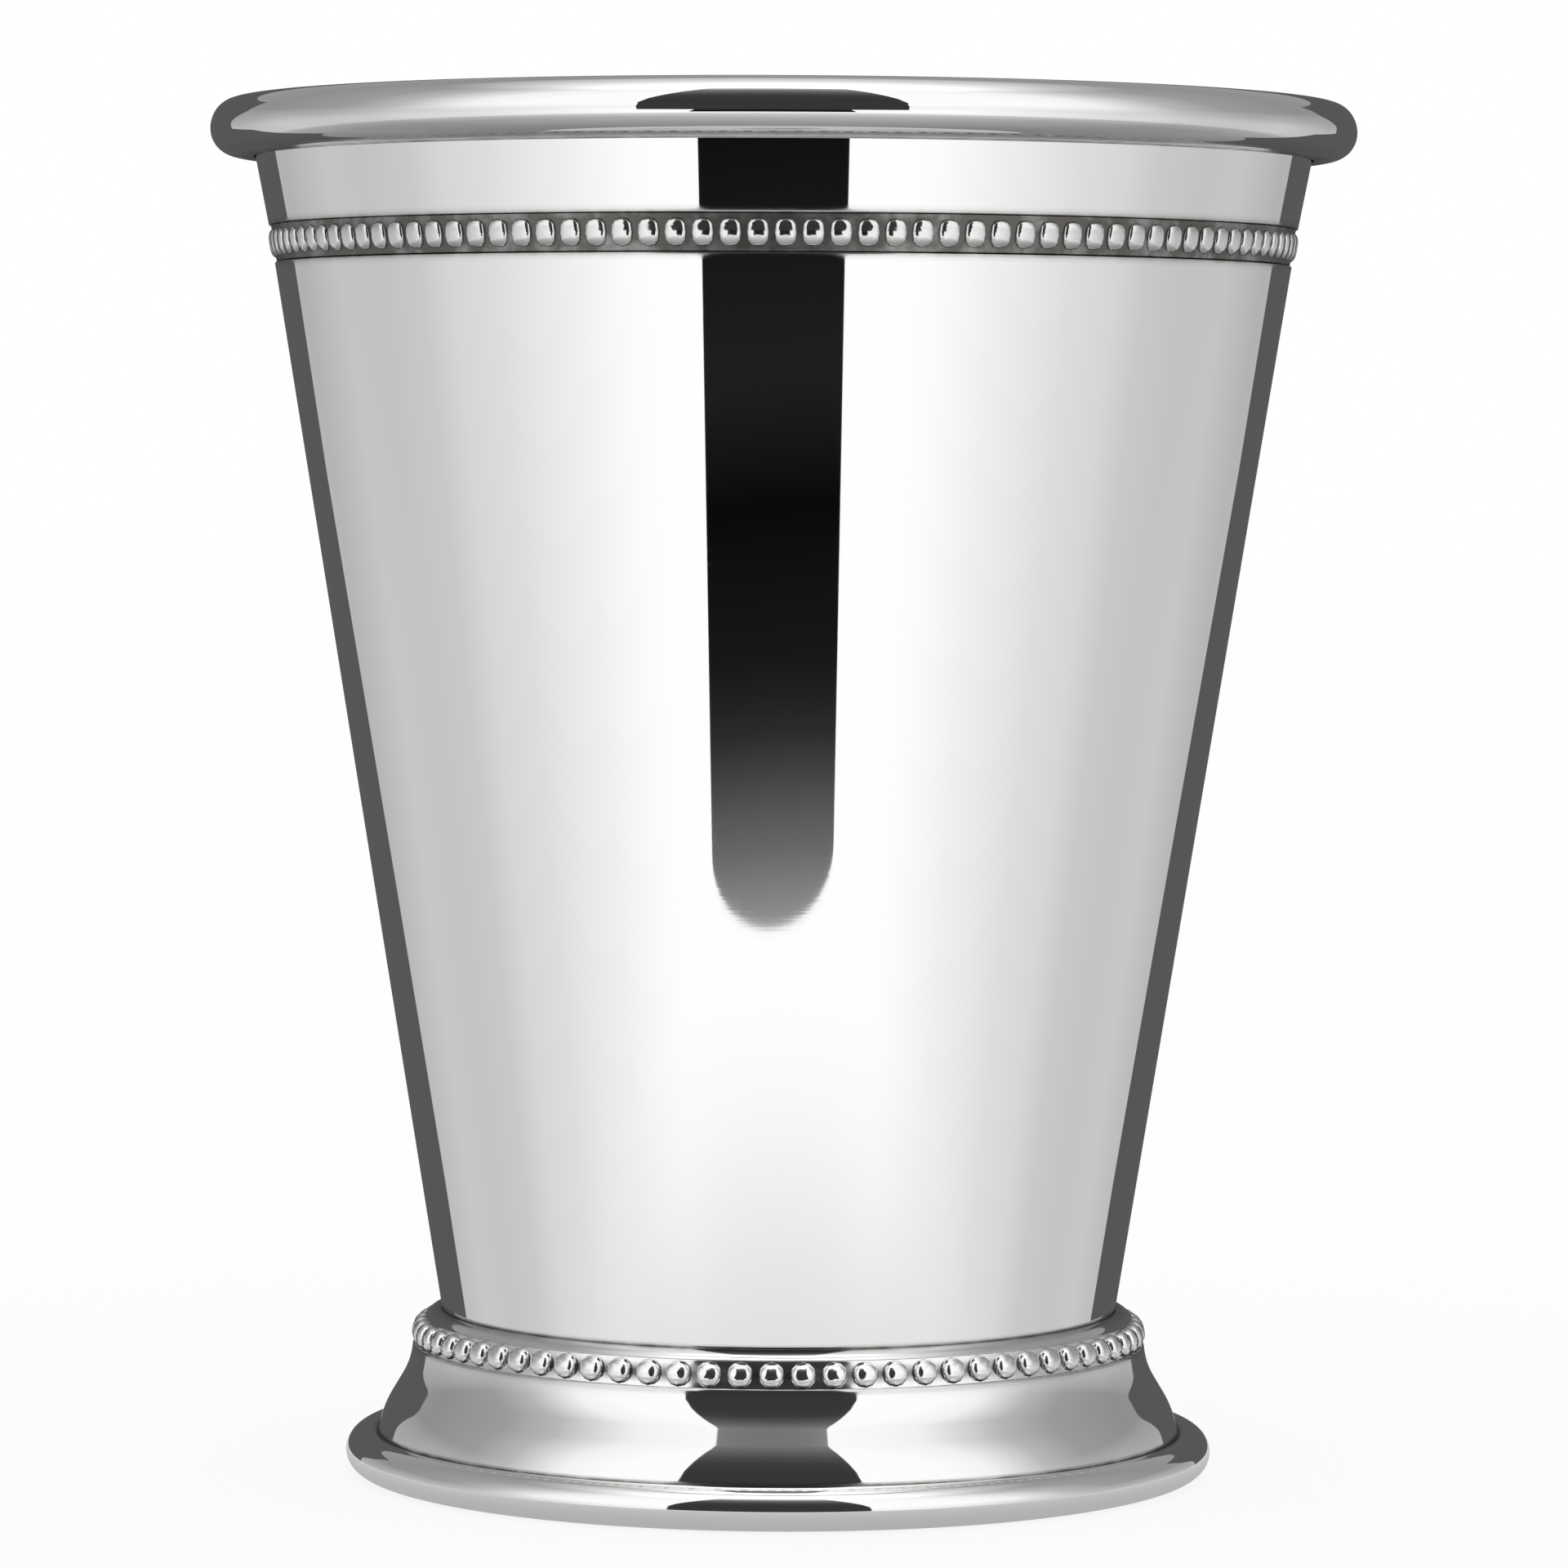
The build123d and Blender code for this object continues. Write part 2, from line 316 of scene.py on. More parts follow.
def softened(points, radius, closed):
    # every sharp corner gets a small polished round
    same, steps = softening["same"], softening["steps"]
    clean = [p for i, p in enumerate(points) if i == 0 or apart(points[i - 1], p) > same]
    if closed and apart(clean[-1], clean[0]) < same:
        clean.pop()
    made = []
    for i, here in enumerate(clean):
        last, following = clean[i - 1], clean[(i + 1) % len(clean)]
        turn = abs((angleTo(here, following) - angleTo(last, here) + 180) % 360 - 180)
        openEnd = not closed and i in (0, len(clean) - 1)
        if openEnd or turn < softening["sharpTurn"]:
            made.append(here)
            continue
        before, after = apart(last, here), apart(here, following)
        reach = radius * sin(radians(turn / 2)) / cos(radians(min(turn, softening["widestTurn"]) / 2))
        reach = min(reach, softening["share"] * before, softening["share"] * after)
        start, end = between(here, last, reach / before), between(here, following, reach / after)
        for s in [k / steps for k in range(steps + 1)]:
            made.append(between(between(start, here, s), between(here, end, s), s))
    if closed:
        made.append(made[0])
    return made


def spaced(points, longest=2.5, guards=(0.07, 0.25, 0.55)):
    # rows close to each end of a straight run keep its reflection straight
    made = [points[0]]
    for a, b in zip(points, points[1:]):
        run = apart(a, b)
        near = [guard / run for guard in guards if run > 4 * guard]
        if near:
            count = max(1, round(run / longest))
            inner = [i / count for i in range(1, count) if near[-1] < i / count < 1 - near[-1]]
            made += [between(a, b, s) for s in near + inner + [1 - s for s in reversed(near)]]
        made.append(b)
    return made


def creaseShading(at, reach, depth=1.0, innermost=-1.0):
    # a spot in the outline painted with shade, fading over its reach, only outside the innermost radius
    return {"at": at, "reach": reach, "depth": depth, "from": innermost}


def addObject(name, mesh):
    made = bpy.data.objects.new(name, mesh)
    scene.collection.objects.link(made)
    return made


def storeValues(mesh, **values):
    for label, each in values.items():
        mesh.attributes.new(label, "FLOAT", "POINT").data.foreach_set("value", each)


def outlineObject(name, points, creaseShadings=(), insideRows=None):
    mesh = bpy.data.meshes.new(name)
    edges = [(i, i + 1) for i in range(len(points) - 1)]
    mesh.from_pydata([(r * mm, 0, z * mm) for r, z in points], edges, [])
    along, crease = [0.0], []
    for a, b in zip(points, points[1:]):
        along.append(along[-1] + apart(a, b))
    for p in points:
        # painted crease shade at each point, strongest at a spot's centre
        depths = [c["depth"] * (1 - apart(c["at"], p) / c["reach"]) for c in creaseShadings if p[0] > c["from"]]
        crease.append(max([0.0] + depths))
    inside = [float(insideRows(r, z)) if insideRows else 0.0 for r, z in points]
    storeValues(mesh, along=along, crease=crease, inside=inside)
    return addObject(name, mesh)


# turning tree: an outline goes once round the axis

def makeTurningTree(weld=0.0000005):
    tree, given, out = newGroup(
        "turnOutline", "GeometryNodeTree",
        [("Outline", "NodeSocketObject", None), ("Rows", "NodeSocketInt", 2), ("Steps", "NodeSocketInt", 64),
         ("Metal", "NodeSocketMaterial", None)],
        [("Geometry", "NodeSocketGeometry")])
    tree.is_modifier = True
    stepEnds = mathNode(tree, "ADD", given["Steps"], 1)
    grid = node(tree, "GeometryNodeMeshGrid",
                {"Size X": 1.0, "Size Y": 1.0, "Vertices X": stepEnds, "Vertices Y": given["Rows"]})
    place = node(tree, "ShaderNodeSeparateXYZ", {0: node(tree, "GeometryNodeInputPosition").outputs[0]})
    turn = mathNode(tree, "MULTIPLY", mathNode(tree, "ADD", place.outputs[0], 0.5), 2 * pi)
    rowShare = mathNode(tree, "ADD", place.outputs[1], 0.5)
    lastRow = mathNode(tree, "SUBTRACT", given["Rows"], 1)
    row = mathNode(tree, "ROUND", mathNode(tree, "MULTIPLY", rowShare, lastRow))
    source = node(tree, "GeometryNodeObjectInfo", {"Object": given["Outline"]}).outputs["Geometry"]
    shape = grid.outputs["Mesh"]
    for label in ("along", "crease", "inside"):
        value = node(tree, "GeometryNodeInputNamedAttribute", {"Name": label}, data_type="FLOAT")
        sample = node(tree, "GeometryNodeSampleIndex",
                      {"Geometry": source, "Value": value.outputs["Attribute"], "Index": row},
                      data_type="FLOAT")
        stored = node(tree, "GeometryNodeStoreNamedAttribute",
                      {"Geometry": shape, "Name": label, "Value": sample.outputs[0]},
                      data_type="FLOAT", domain="POINT")
        shape = stored.outputs[0]
    position = node(tree, "GeometryNodeInputPosition").outputs[0]
    where = node(tree, "GeometryNodeSampleIndex",
                 {"Geometry": source, "Value": position, "Index": row}, data_type="FLOAT_VECTOR")
    point = node(tree, "ShaderNodeSeparateXYZ", {0: where.outputs[0]})
    spot = node(tree, "ShaderNodeCombineXYZ",
                {0: mathNode(tree, "MULTIPLY", point.outputs[0], mathNode(tree, "COSINE", turn)),
                 1: mathNode(tree, "MULTIPLY", point.outputs[0], mathNode(tree, "SINE", turn)),
                 2: point.outputs[2]})
    turned = node(tree, "GeometryNodeSetPosition", {"Geometry": shape, "Position": spot.outputs[0]})
    closed = node(tree, "GeometryNodeMergeByDistance", {"Geometry": turned.outputs[0], "Distance": weld})
    single = node(tree, "GeometryNodeRealizeInstances", {"Geometry": closed.outputs[0]})
    faced = node(tree, "GeometryNodeSetMaterial", {"Geometry": single.outputs[0], "Material": given["Metal"]})
    tree.links.new(faced.outputs[0], out["Geometry"])
    return tree


turningTree = makeTurningTree()


# beaded strip tree: a turned strip with beads standing round it

def makeBeadTree():
    tree, given, out = newGroup(
        "beadStrip", "GeometryNodeTree",
        [("Outline", "NodeSocketObject", None), ("Rows", "NodeSocketInt", 2), ("Steps", "NodeSocketInt", 64),
         ("Bead", "NodeSocketObject", None), ("Bead count", "NodeSocketInt", 12),
         ("Face radius", "NodeSocketFloat", 0.03), ("Face level", "NodeSocketFloat", 0.0),
         ("Lean", "NodeSocketFloat", 0.0), ("Turn", "NodeSocketFloat", 0.0),
         ("Metal", "NodeSocketMaterial", None)],
        [("Geometry", "NodeSocketGeometry")])
    tree.is_modifier = True
    strip = node(tree, "GeometryNodeGroup", node_tree=turningTree,
                 feeds={label: given[label] for label in ("Outline", "Rows", "Steps", "Metal")})
    ring = node(tree, "GeometryNodeMeshCircle",
                {"Vertices": given["Bead count"], "Radius": given["Face radius"]})
    lift = node(tree, "ShaderNodeCombineXYZ", {2: given["Face level"]}).outputs[0]
    spin = node(tree, "ShaderNodeCombineXYZ", {2: given["Turn"]}).outputs[0]
    seats = node(tree, "GeometryNodeTransform",
                 {"Geometry": ring.outputs[0], "Translation": lift, "Rotation": spin})
    pitch = mathNode(tree, "DIVIDE", 2 * pi, given["Bead count"])
    passed = mathNode(tree, "MULTIPLY", node(tree, "GeometryNodeInputIndex").outputs[0], pitch)
    angle = mathNode(tree, "ADD", given["Turn"], passed)
    euler = node(tree, "ShaderNodeCombineXYZ", {1: given["Lean"], 2: angle}).outputs[0]
    facing = node(tree, "FunctionNodeEulerToRotation", {0: euler}).outputs[0]
    bead = node(tree, "GeometryNodeObjectInfo", {"Object": given["Bead"]}).outputs["Geometry"]
    beads = node(tree, "GeometryNodeInstanceOnPoints",
                 {"Points": seats.outputs[0], "Instance": bead, "Rotation": facing})
    whole = node(tree, "GeometryNodeJoinGeometry")
    tree.links.new(beads.outputs[0], whole.inputs[0])
    tree.links.new(strip.outputs[0], whole.inputs[0])
    single = node(tree, "GeometryNodeRealizeInstances", {"Geometry": whole.outputs[0]})
    faced = node(tree, "GeometryNodeSetMaterial", {"Geometry": single.outputs[0], "Material": given["Metal"]})
    tree.links.new(faced.outputs[0], out["Geometry"])
    return tree


beadTree = makeBeadTree()


def growPiece(name, tree, values, sharpFrom):
    host = addObject(name, bpy.data.meshes.new(name))
    grow = host.modifiers.new("grow", "NODES")
    grow.node_group = tree
    for item in tree.interface.items_tree:
        if item.in_out == "INPUT" and item.name in values:
            grow[item.identifier] = values[item.name]
    made = bpy.data.meshes.new_from_object(host.evaluated_get(bpy.context.evaluated_depsgraph_get()))
    host.modifiers.remove(grow)
    shell = bmesh.new()
    shell.from_mesh(made)
    bmesh.ops.recalc_face_normals(shell, faces=shell.faces)
    shell.to_mesh(made)
    shell.free()
    made.shade_smooth()
    made.set_sharp_from_angle(angle=radians(sharpFrom))
    made.name = name
    host.data = made
    for helper in [v for v in values.values() if isinstance(v, bpy.types.Object)]:
        bpy.data.objects.remove(helper)
    made.calc_loop_triangles()
    print(name, "made,", len(made.loop_triangles), "triangles")
    return host


def keepPiece(piece, cadNode):
    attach(piece, "root")
    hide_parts(cadNode)


# cup body: floor, tapered wall with its groove, rolled rim

cup = {
    "height": 106.9,
    "sheet": 0.9,
    "floorLevel": 8.0,
    "lowRadius": 25.69,  # at floorLevel, outer face
    "highRadius": 41.63,  # where the wall's line reaches the height
    "cornerRadius": 3.0,
    "rimFlare": 1.9,  # degrees that the wall opens further above the groove
    "rollHollow": 1.08,  # radius round the wire
    "rollTall": (1.04, 1.14),  # heights of the roll's lower and upper halves over its width
    "rimLevel": 104.75,  # widest point of the roll
    "underSlope": 5.0,  # degrees, straight underside of the roll
    "lipGap": 0.12,
    "grooveBelowTop": 11.06,
    "grooveHalf": 1.46,
    "grooveDepth": 0.6,
    "edgeRound": 0.07,
    "grooveShade": 0.4,  # how far the painted shade reaches from the groove's edges
    "lipShade": (3.0, 1.7),  # reach and depth of the painted shade under the rim
    # reach of the painted shade along the collar line, where the wall also gets rows
    "collarShade": 0.4,
    "collarLine": 12.76,  # the foot's collar meets the wall here
    "satinTop": 105.0,  # the inner side is satin up to here
    "satinDepth": 0.6,
    "sharpFrom": 40.0,  # degrees
    "steps": 280,
}
wallTilt = atan2(cup["highRadius"] - cup["lowRadius"], cup["height"] - cup["floorLevel"])
grooveLevel = cup["height"] - cup["grooveBelowTop"]
collarLine = cup["collarLine"]


def wallRadius(level):
    run = (level - cup["floorLevel"]) / (cup["height"] - cup["floorLevel"])
    return cup["lowRadius"] + run * (cup["highRadius"] - cup["lowRadius"])


def wallPoint(level, depth=0.0, along=0.0):
    return (wallRadius(level) - depth * cos(wallTilt) + along * sin(wallTilt),
            level + depth * sin(wallTilt) + along * cos(wallTilt))


def groovePoint(depth, along):
    return wallPoint(grooveLevel, depth, along)


def makeCupBody():
    sheet, hollow, floorLevel = cup["sheet"], cup["rollHollow"], cup["floorLevel"]
    half, depth = cup["grooveHalf"], cup["grooveDepth"]
    roll, ridge, tilt = hollow + sheet, half + sheet, degrees(wallTilt)
    rimLevel = cup["rimLevel"]
    rimTilt = wallTilt + radians(cup["rimFlare"])
    grooveTop = groovePoint(0, half)
    rimWall = grooveTop[0] + (rimLevel - grooveTop[1]) * tan(rimTilt)
    rimCentre = (rimWall + hollow / cos(rimTilt), rimLevel)
    sweep, under = 180 - degrees(rimTilt), cup["underSlope"] - 90

    def lipEdge(radius):  # straight underside, from the roll to the wall
        start = onCircle(rimCentre, radius, under)
        slant = radians(under) + rimTilt
        run = (hollow + radius * cos(slant) - cup["lipGap"]) / -sin(slant)
        return (start[0] + run * sin(radians(under)), start[1] - run * cos(radians(under)))

    def tall(outline):
        return [(r, rimLevel + (z - rimLevel) * cup["rollTall"][z > rimLevel]) for r, z in outline]

    def innerSide(r, z):
        return floorLevel + sheet / 2 < z < cup["satinTop"] and r < wallRadius(z) - cup["satinDepth"]

    cornerLevel = floorLevel + cup["cornerRadius"]
    corner = (wallRadius(cornerLevel) - cup["cornerRadius"] / cos(wallTilt), cornerLevel)
    points = [(0.0, floorLevel)]
    points += arc(corner, cup["cornerRadius"], -90, -tilt)
    points += [wallPoint(collarLine, 0, side * cup["collarShade"]) for side in (-1, 0, 1)]
    points += [groovePoint(0, -half), groovePoint(depth, -half), groovePoint(depth, half), grooveTop]
    points += tall(arc(rimCentre, hollow, sweep, under, 9) + [lipEdge(hollow), lipEdge(roll)])
    points += tall(arc(rimCentre, roll, under, sweep, 4))
    points += [groovePoint(sheet, ridge + depth), groovePoint(sheet + depth, ridge),
               groovePoint(sheet + depth, -ridge), groovePoint(sheet, -ridge - depth)]
    points += arc(corner, cup["cornerRadius"] - sheet, -tilt, -90)
    points += [(0.0, floorLevel + sheet)]
    outline = spaced(softened(points, cup["edgeRound"], False))

    lip = tall([lipEdge(roll)])[0]
    lipFrom = lip[0] - 0.05  # the lip's painted shade stays off the wall
    # painted shade at the groove's edges, under the rim and along the collar
    creaseShadings = [creaseShading(groovePoint(deep, side * half), cup["grooveShade"])
                for deep in (0, depth) for side in (-1, 1)]
    creaseShadings += [creaseShading(lip, *cup["lipShade"], lipFrom),
                 creaseShading(wallPoint(collarLine), cup["collarShade"])]
    shape = outlineObject("cupOutline", outline, creaseShadings, innerSide)
    return growPiece("cup_body_polished", turningTree,
                     {"Outline": shape, "Rows": len(outline), "Steps": cup["steps"],
                      "Metal": metals["cupMetal"]},
                     cup["sharpFrom"])


keepPiece(makeCupBody(), "cup_body")


# pedestal foot: shoulder, slanted bead seat, cove, skirt, bell and rolled base

footBand = {
    "metal": "footBeadMetal",
    "radius": 28.2,  # middle of the strip's face
    "level": 11.07,
    "lean": 15.0,  # degrees from upright, facing up
    "thickness": 0.25,
    "faceDepth": 0.16,
    "film": 0.03,
    "border": 0.06,
    "sideGap": 0.01,
    "beadHalfWidth": 0.97,
    "beadHalfHeight": 1.01,
    "beadRelief": 0.74,
    "beadGap": 0.42,
    "oblong": 2.1,
    "squareness": (5.0, 2.0),  # across and along
    # painted shade round each bead's edge and over the strip near its face
    "edgeShade": 0.5,
    "edgeShadeFrom": 0.7,  # share of the way from a bead's top to its edge where painted shade begins
    "stripShadeReach": 0.8,
    "turn": -1.0,  # degrees from the front
    "sink": 0.05,
    "edgeRound": 0.06,
    "longestRow": 0.3,
    "sharpFrom": 75.0,
    "steps": 300,
}
foot = {
    "shoulder": 1.6,
    "shelfLip": 0.47,
    "neck": (28.75, 9.85),
    "neckSlope": 5.0,  # degrees that the cove faces up at the neck
    "coveRadius": 6.0,
    "skirtSlope": 31.0,  # degrees that the straight skirt faces up
    "skirtRun": 1.5,
    "bellRadius": 8.5,
    "baseRadius": 33.95,
    "baseRoll": 1.64,
    "edgeRound": 0.14,
    "seatShade": (0.2, 0.6),  # reach and depth of painted shade, here and in the three below
    "shelfShade": (0.7, 1.4),
    "collarShade": (1.1, 1.2),
    "baseCreaseShade": (0.45, 2.0),
    "satinSeat": 27.9,  # outer radius above the neck, for telling the inner side
    "satinNeck": 28.6,  # outer radius at satinLevel, and its gain for each millimetre below
    "satinLevel": 9.5,
    "satinFlare": 0.42,
    "satinTop": 0.3,  # above the collar's underside
    "sharpFrom": 40.0,
    "steps": 400,
}
collarLow = collarLine - cup["sheet"]
seatDepth = footBand["thickness"] + footBand["film"]
halfFootStrip = footBand["beadHalfHeight"] + footBand["border"]
halfSeat = halfFootStrip + footBand["sideGap"]


def bandPoint(depth, along):
    lean = radians(footBand["lean"])
    return (footBand["radius"] - depth * cos(lean) - along * sin(lean),
            footBand["level"] - depth * sin(lean) + along * cos(lean))


def makeFoot():
    sheet, film, lean = cup["sheet"], footBand["film"], radians(footBand["lean"])
    neck, neckSlope, skirtSlope = foot["neck"], foot["neckSlope"], foot["skirtSlope"]
    shoulderRadius, coveRadius = foot["shoulder"], foot["coveRadius"]
    bellRadius, rollRadius = foot["bellRadius"], foot["baseRoll"]

    # shoulder, an arc that ends level with the top of the seat
    shoulder = (wallRadius(collarLine) + film, collarLine - shoulderRadius)
    seatMiddle, seatBack = bandPoint(seatDepth, 0), bandPoint(seatDepth + sheet, 0)
    rise = (shoulder[1] - seatMiddle[1]) * cos(lean) - (shoulder[0] - seatMiddle[0]) * sin(lean)
    shoulderEnd = degrees(asin((halfSeat - rise) / shoulderRadius) + lean)

    # cove, straight skirt, then a bell that meets the base roll in a crease
    cove = onCircle(neck, coveRadius, neckSlope)
    hip = onCircle(cove, coveRadius, skirtSlope + 180)
    skirtEnd = onCircle(hip, foot["skirtRun"], skirtSlope - 90)
    bell = onCircle(skirtEnd, bellRadius, skirtSlope + 180)
    roll = (foot["baseRadius"] - rollRadius, rollRadius)
    away = apart(bell, roll)
    side = (bellRadius**2 + away**2 - rollRadius**2) / (2 * bellRadius * away)
    creaseSlope = angleTo(bell, roll) + degrees(acos(side))
    crease = onCircle(bell, bellRadius, creaseSlope)
    baseInner = onCircle(bell, bellRadius - sheet, creaseSlope)

    points = arc(shoulder, shoulderRadius, 90, shoulderEnd, 6)
    points += [bandPoint(seatDepth, halfSeat), bandPoint(seatDepth, -halfSeat),
               bandPoint(seatDepth - foot["shelfLip"], -halfSeat)]
    points += arc(cove, coveRadius, neckSlope + 180, skirtSlope + 180, 1.5)
    points += arc(bell, bellRadius, skirtSlope, creaseSlope, 1.5)
    points += arc(roll, rollRadius, angleTo(roll, crease), -90, 5)
    points += [(baseInner[0], 0)]
    points += arc(bell, bellRadius - sheet, creaseSlope, skirtSlope, 3)
    points += arc(cove, coveRadius + sheet, skirtSlope + 180, neckSlope + 180, 3)
    points += [bandPoint(seatDepth + sheet, -halfSeat / 2),
               (seatBack[0] - (collarLow - seatBack[1]) * tan(lean), collarLow),
               (wallRadius(collarLow) + film, collarLow), onCircle(shoulder, shoulderRadius, 90)]
    outline = spaced(softened(points, foot["edgeRound"], True))
    # painted shade at the seat's edges, along the collar and in the base crease
    creaseShadings = [creaseShading(bandPoint(seatDepth, halfSeat), *foot["seatShade"]),
                creaseShading(bandPoint(seatDepth, -halfSeat), *foot["shelfShade"]),
                creaseShading(wallPoint(collarLine), *foot["collarShade"]),
                creaseShading(crease, *foot["baseCreaseShade"])]

    def underSide(r, z):
        outer = foot["satinSeat"]
        if z <= neck[1]:
            outer = foot["satinNeck"] + max(0.0, foot["satinLevel"] - z) * foot["satinFlare"]
        return r < outer - sheet / 2 and z < collarLow + foot["satinTop"]

    shape = outlineObject("footOutline", outline, creaseShadings, underSide)
    return growPiece("foot_shell_polished", turningTree,
                     {"Outline": shape, "Rows": len(outline), "Steps": foot["steps"],
                      "Metal": metals["footMetal"]},
                     foot["sharpFrom"])


keepPiece(makeFoot(), "foot_shell")


# beads

rimBand = {
    "metal": "rimBeadShadedMetal",
    "thickness": 0.42,
    "film": 0.03,
    "border": 0.34,
    "beadHalfWidth": 0.82,
    "beadHalfHeight": 1.06,
    "beadRelief": 0.35,
    "beadGap": 0.37,
    "oblong": 2.8,
    "squareness": (5.0, 2.6),
    # painted shade round each bead's edge; its long reach darkens the whole strip
    "edgeShade": 0.5,
    "edgeShadeFrom": 0.7,
    "stripShadeReach": 9.0,
    "turn": 0.27,
    "sink": 0.05,
    "edgeRound": 0.06,
    "longestRow": 0.3,
    "sharpFrom": 75.0,
    "steps": 300,
}


def beadObject(name, band, sides=12, rings=5):
    # a domed bead facing +X, its strip's face at x = 0
    relief, edgeShadeFrom = band["beadRelief"], band["edgeShadeFrom"]
    verts, faces, crease, along = [(relief * mm, 0, 0)], [], [0.0], [0.0]
    for ring in range(1, rings + 2):
        lean = pi / 2 * min(ring / rings, 1.0)
        level = relief * cos(lean) if ring <= rings else -band["sink"]
        for side in range(sides):
            a = 2 * pi * side / sides
            square = band["squareness"][0] * cos(a) ** 2 + band["squareness"][1] * sin(a) ** 2
            reach = sin(lean) ** (2 / square)
            across, up = [copysign(abs(s) ** (2 / band["oblong"]), s) for s in (cos(a), sin(a))]
            verts.append((level * mm, band["beadHalfWidth"] * reach * across * mm,
                          band["beadHalfHeight"] * reach * up * mm))
            # painted shade towards the bead's edge
            crease.append(band["edgeShade"] * max(0.0, (ring / rings - edgeShadeFrom) / (1 - edgeShadeFrom)))
            along.append(lean)
        first = 1 + (ring - 1) * sides
        for side in range(sides):
            b, c = first + side, first + (side + 1) % sides
            faces.append((0, b, c) if ring == 1 else (b - sides, b, c, c - sides))
    mesh = bpy.data.meshes.new(name)
    mesh.from_pydata(verts, [], faces)
    storeValues(mesh, crease=crease, along=along, inside=[0.0] * len(verts))
    return addObject(name, mesh)


def makeBeadStrip(name, band, corners, face, lean):
    outline = spaced(softened(corners + corners[:1], band["edgeRound"], True), band["longestRow"])
    # painted shade spreading from the strip's face
    shape = outlineObject(name + "Outline", outline, [creaseShading(face, band["stripShadeReach"])])
    dome = beadObject(name + "Bead", band)
    count = round(2 * pi * face[0] / (2 * band["beadHalfWidth"] + band["beadGap"]))
    return growPiece(name, beadTree,
                     {"Outline": shape, "Rows": len(outline), "Steps": band["steps"], "Bead": dome,
                      "Bead count": count, "Face radius": face[0] * mm, "Face level": face[1] * mm,
                      "Lean": lean, "Turn": radians(band["turn"] - 90), "Metal": metals[band["metal"]]},
                     band["sharpFrom"])


def makeRimBand():
    back = cup["grooveDepth"] - rimBand["film"]
    front = back - rimBand["thickness"]
    half = rimBand["beadHalfHeight"] + rimBand["border"]
    corners = [groovePoint(back, -half), groovePoint(front, -half),
               groovePoint(front, half), groovePoint(back, half)]
    return makeBeadStrip("rim_bead_band_polished", rimBand, corners, groovePoint(front, 0), wallTilt)


def makeFootBand():
    back, front, half = footBand["thickness"], footBand["faceDepth"], halfFootStrip
    corners = [bandPoint(back, -half), bandPoint(front, -half), bandPoint(front, half), bandPoint(back, half)]
    lean = -radians(footBand["lean"])
    return makeBeadStrip("foot_bead_band_polished", footBand, corners, bandPoint(front, 0), lean)


keepPiece(makeRimBand(), "rim_bead_band")
keepPiece(makeFootBand(), "foot_bead_band")


# wire and solder keep their CAD shapes

for cadNode, metal in (("rim_wire", "wireMetal"), ("foot_solder_ring", "solderMetal")):
    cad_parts[cadNode].data.materials.clear()
    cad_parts[cadNode].data.materials.append(plainMetals[metal])
print("pieces made")


# studio: pale floor, light tent, a dark gap in its front and a dark wall behind
# shades of the tent go from its back (0) to its front (1), or from its bottom to its top

studio = {
    "tentRadius": 24.0,
    "gapRadius": 20.0,
    "backRadius": 20.0,
    "gapTurn": -2.2,  # degrees, to the left
    "gapShape": [  # rise and half width, degrees
        (-22.21, 15.8), (-12.8, 15.0), (-12.4, 26.2), (0.0, 26.6), (15.0, 25.8), (28.0, 23.0), (36.0, 20.4),
        (42.0, 18.2), (48.0, 15.8), (54.0, 13.2), (62.0, 10.0)],
    "gapEnd": 0.68,  # degrees taken by its round lower end
    "gapBend": 0.0392,  # keeps its rows level on the tapered wall
    "gapBendTo": -12.6,
    "gapShade": [
        (-22.21, 0.3), (-22.1, 0.28), (-21.9, 0.235), (-21.7, 0.185), (-21.4, 0.12), (-21.1, 0.092),
        (-20.9, 0.06), (-20.7, 0.034), (-20.4, 0.02), (-20.0, 0.01), (-18.6, 0.003), (-17.5, 0.015),
        (-16.0, 0.008), (-10.0, 0.04), (25.0, 0.04), (36.0, 0.05), (42.0, 0.08), (49.5, 0.14), (54.0, 0.2),
        (58.0, 0.38), (62.0, 0.65)],
    "tableRadius": 52.0,  # mm, glowing disc that the foot's roll mirrors; its grey is a painted shadow, darker towards the foot
    "tableLevel": -0.1,
    "tableShade": [(31.0, 0.42), (36.0, 0.54), (44.0, 0.62), (52.0, 0.66)],
    "wallShape": [(-35.0, 46.0), (-13.0, 44.0), (-5.0, 35.0), (3.0, 36.0), (12.0, 42.0), (22.0, 42.0)],
    "wallShade": 0.1,
    "around": [
        (0.0, 0.60), (0.12, 0.53), (0.26, 0.63), (0.38, 0.605), (0.5, 0.645), (0.58, 0.74), (0.68, 0.80),
        (0.76, 0.89), (0.82, 0.955), (0.9, 1.08), (1.0, 1.12)],
    "aroundHigh": [
        (0.0, 0.34), (0.2, 0.3), (0.42, 0.36), (0.55, 0.52), (0.63, 0.75), (0.7, 0.98), (0.8, 1.08),
        (1.0, 1.1)],
    "highFrom": -0.1,
    "highTo": 0.25,
    "upward": [
        (0.0, 0.40), (0.19, 0.50), (0.27, 0.66), (0.287, 0.79), (0.293, 0.87), (0.3, 0.96), (0.309, 1.01),
        (0.4, 1.0), (0.46, 0.93), (0.52, 0.93), (0.58, 1.0), (0.9, 1.0), (0.96, 1.9), (1.0, 2.2)],
    "floorSize": 4.0,  # metres
    "floorLevel": -0.05,  # mm
    "floorColour": (0.92, 0.92, 0.92, 1),
    "floorWhite": 0.85,  # share of plain white that the camera sees
}


def stageObject(name, verts, faces, material):
    mesh = bpy.data.meshes.new(name)
    mesh.from_pydata(verts, [], faces)
    mesh.materials.append(material)
    made = addObject(name, mesh)
    return made


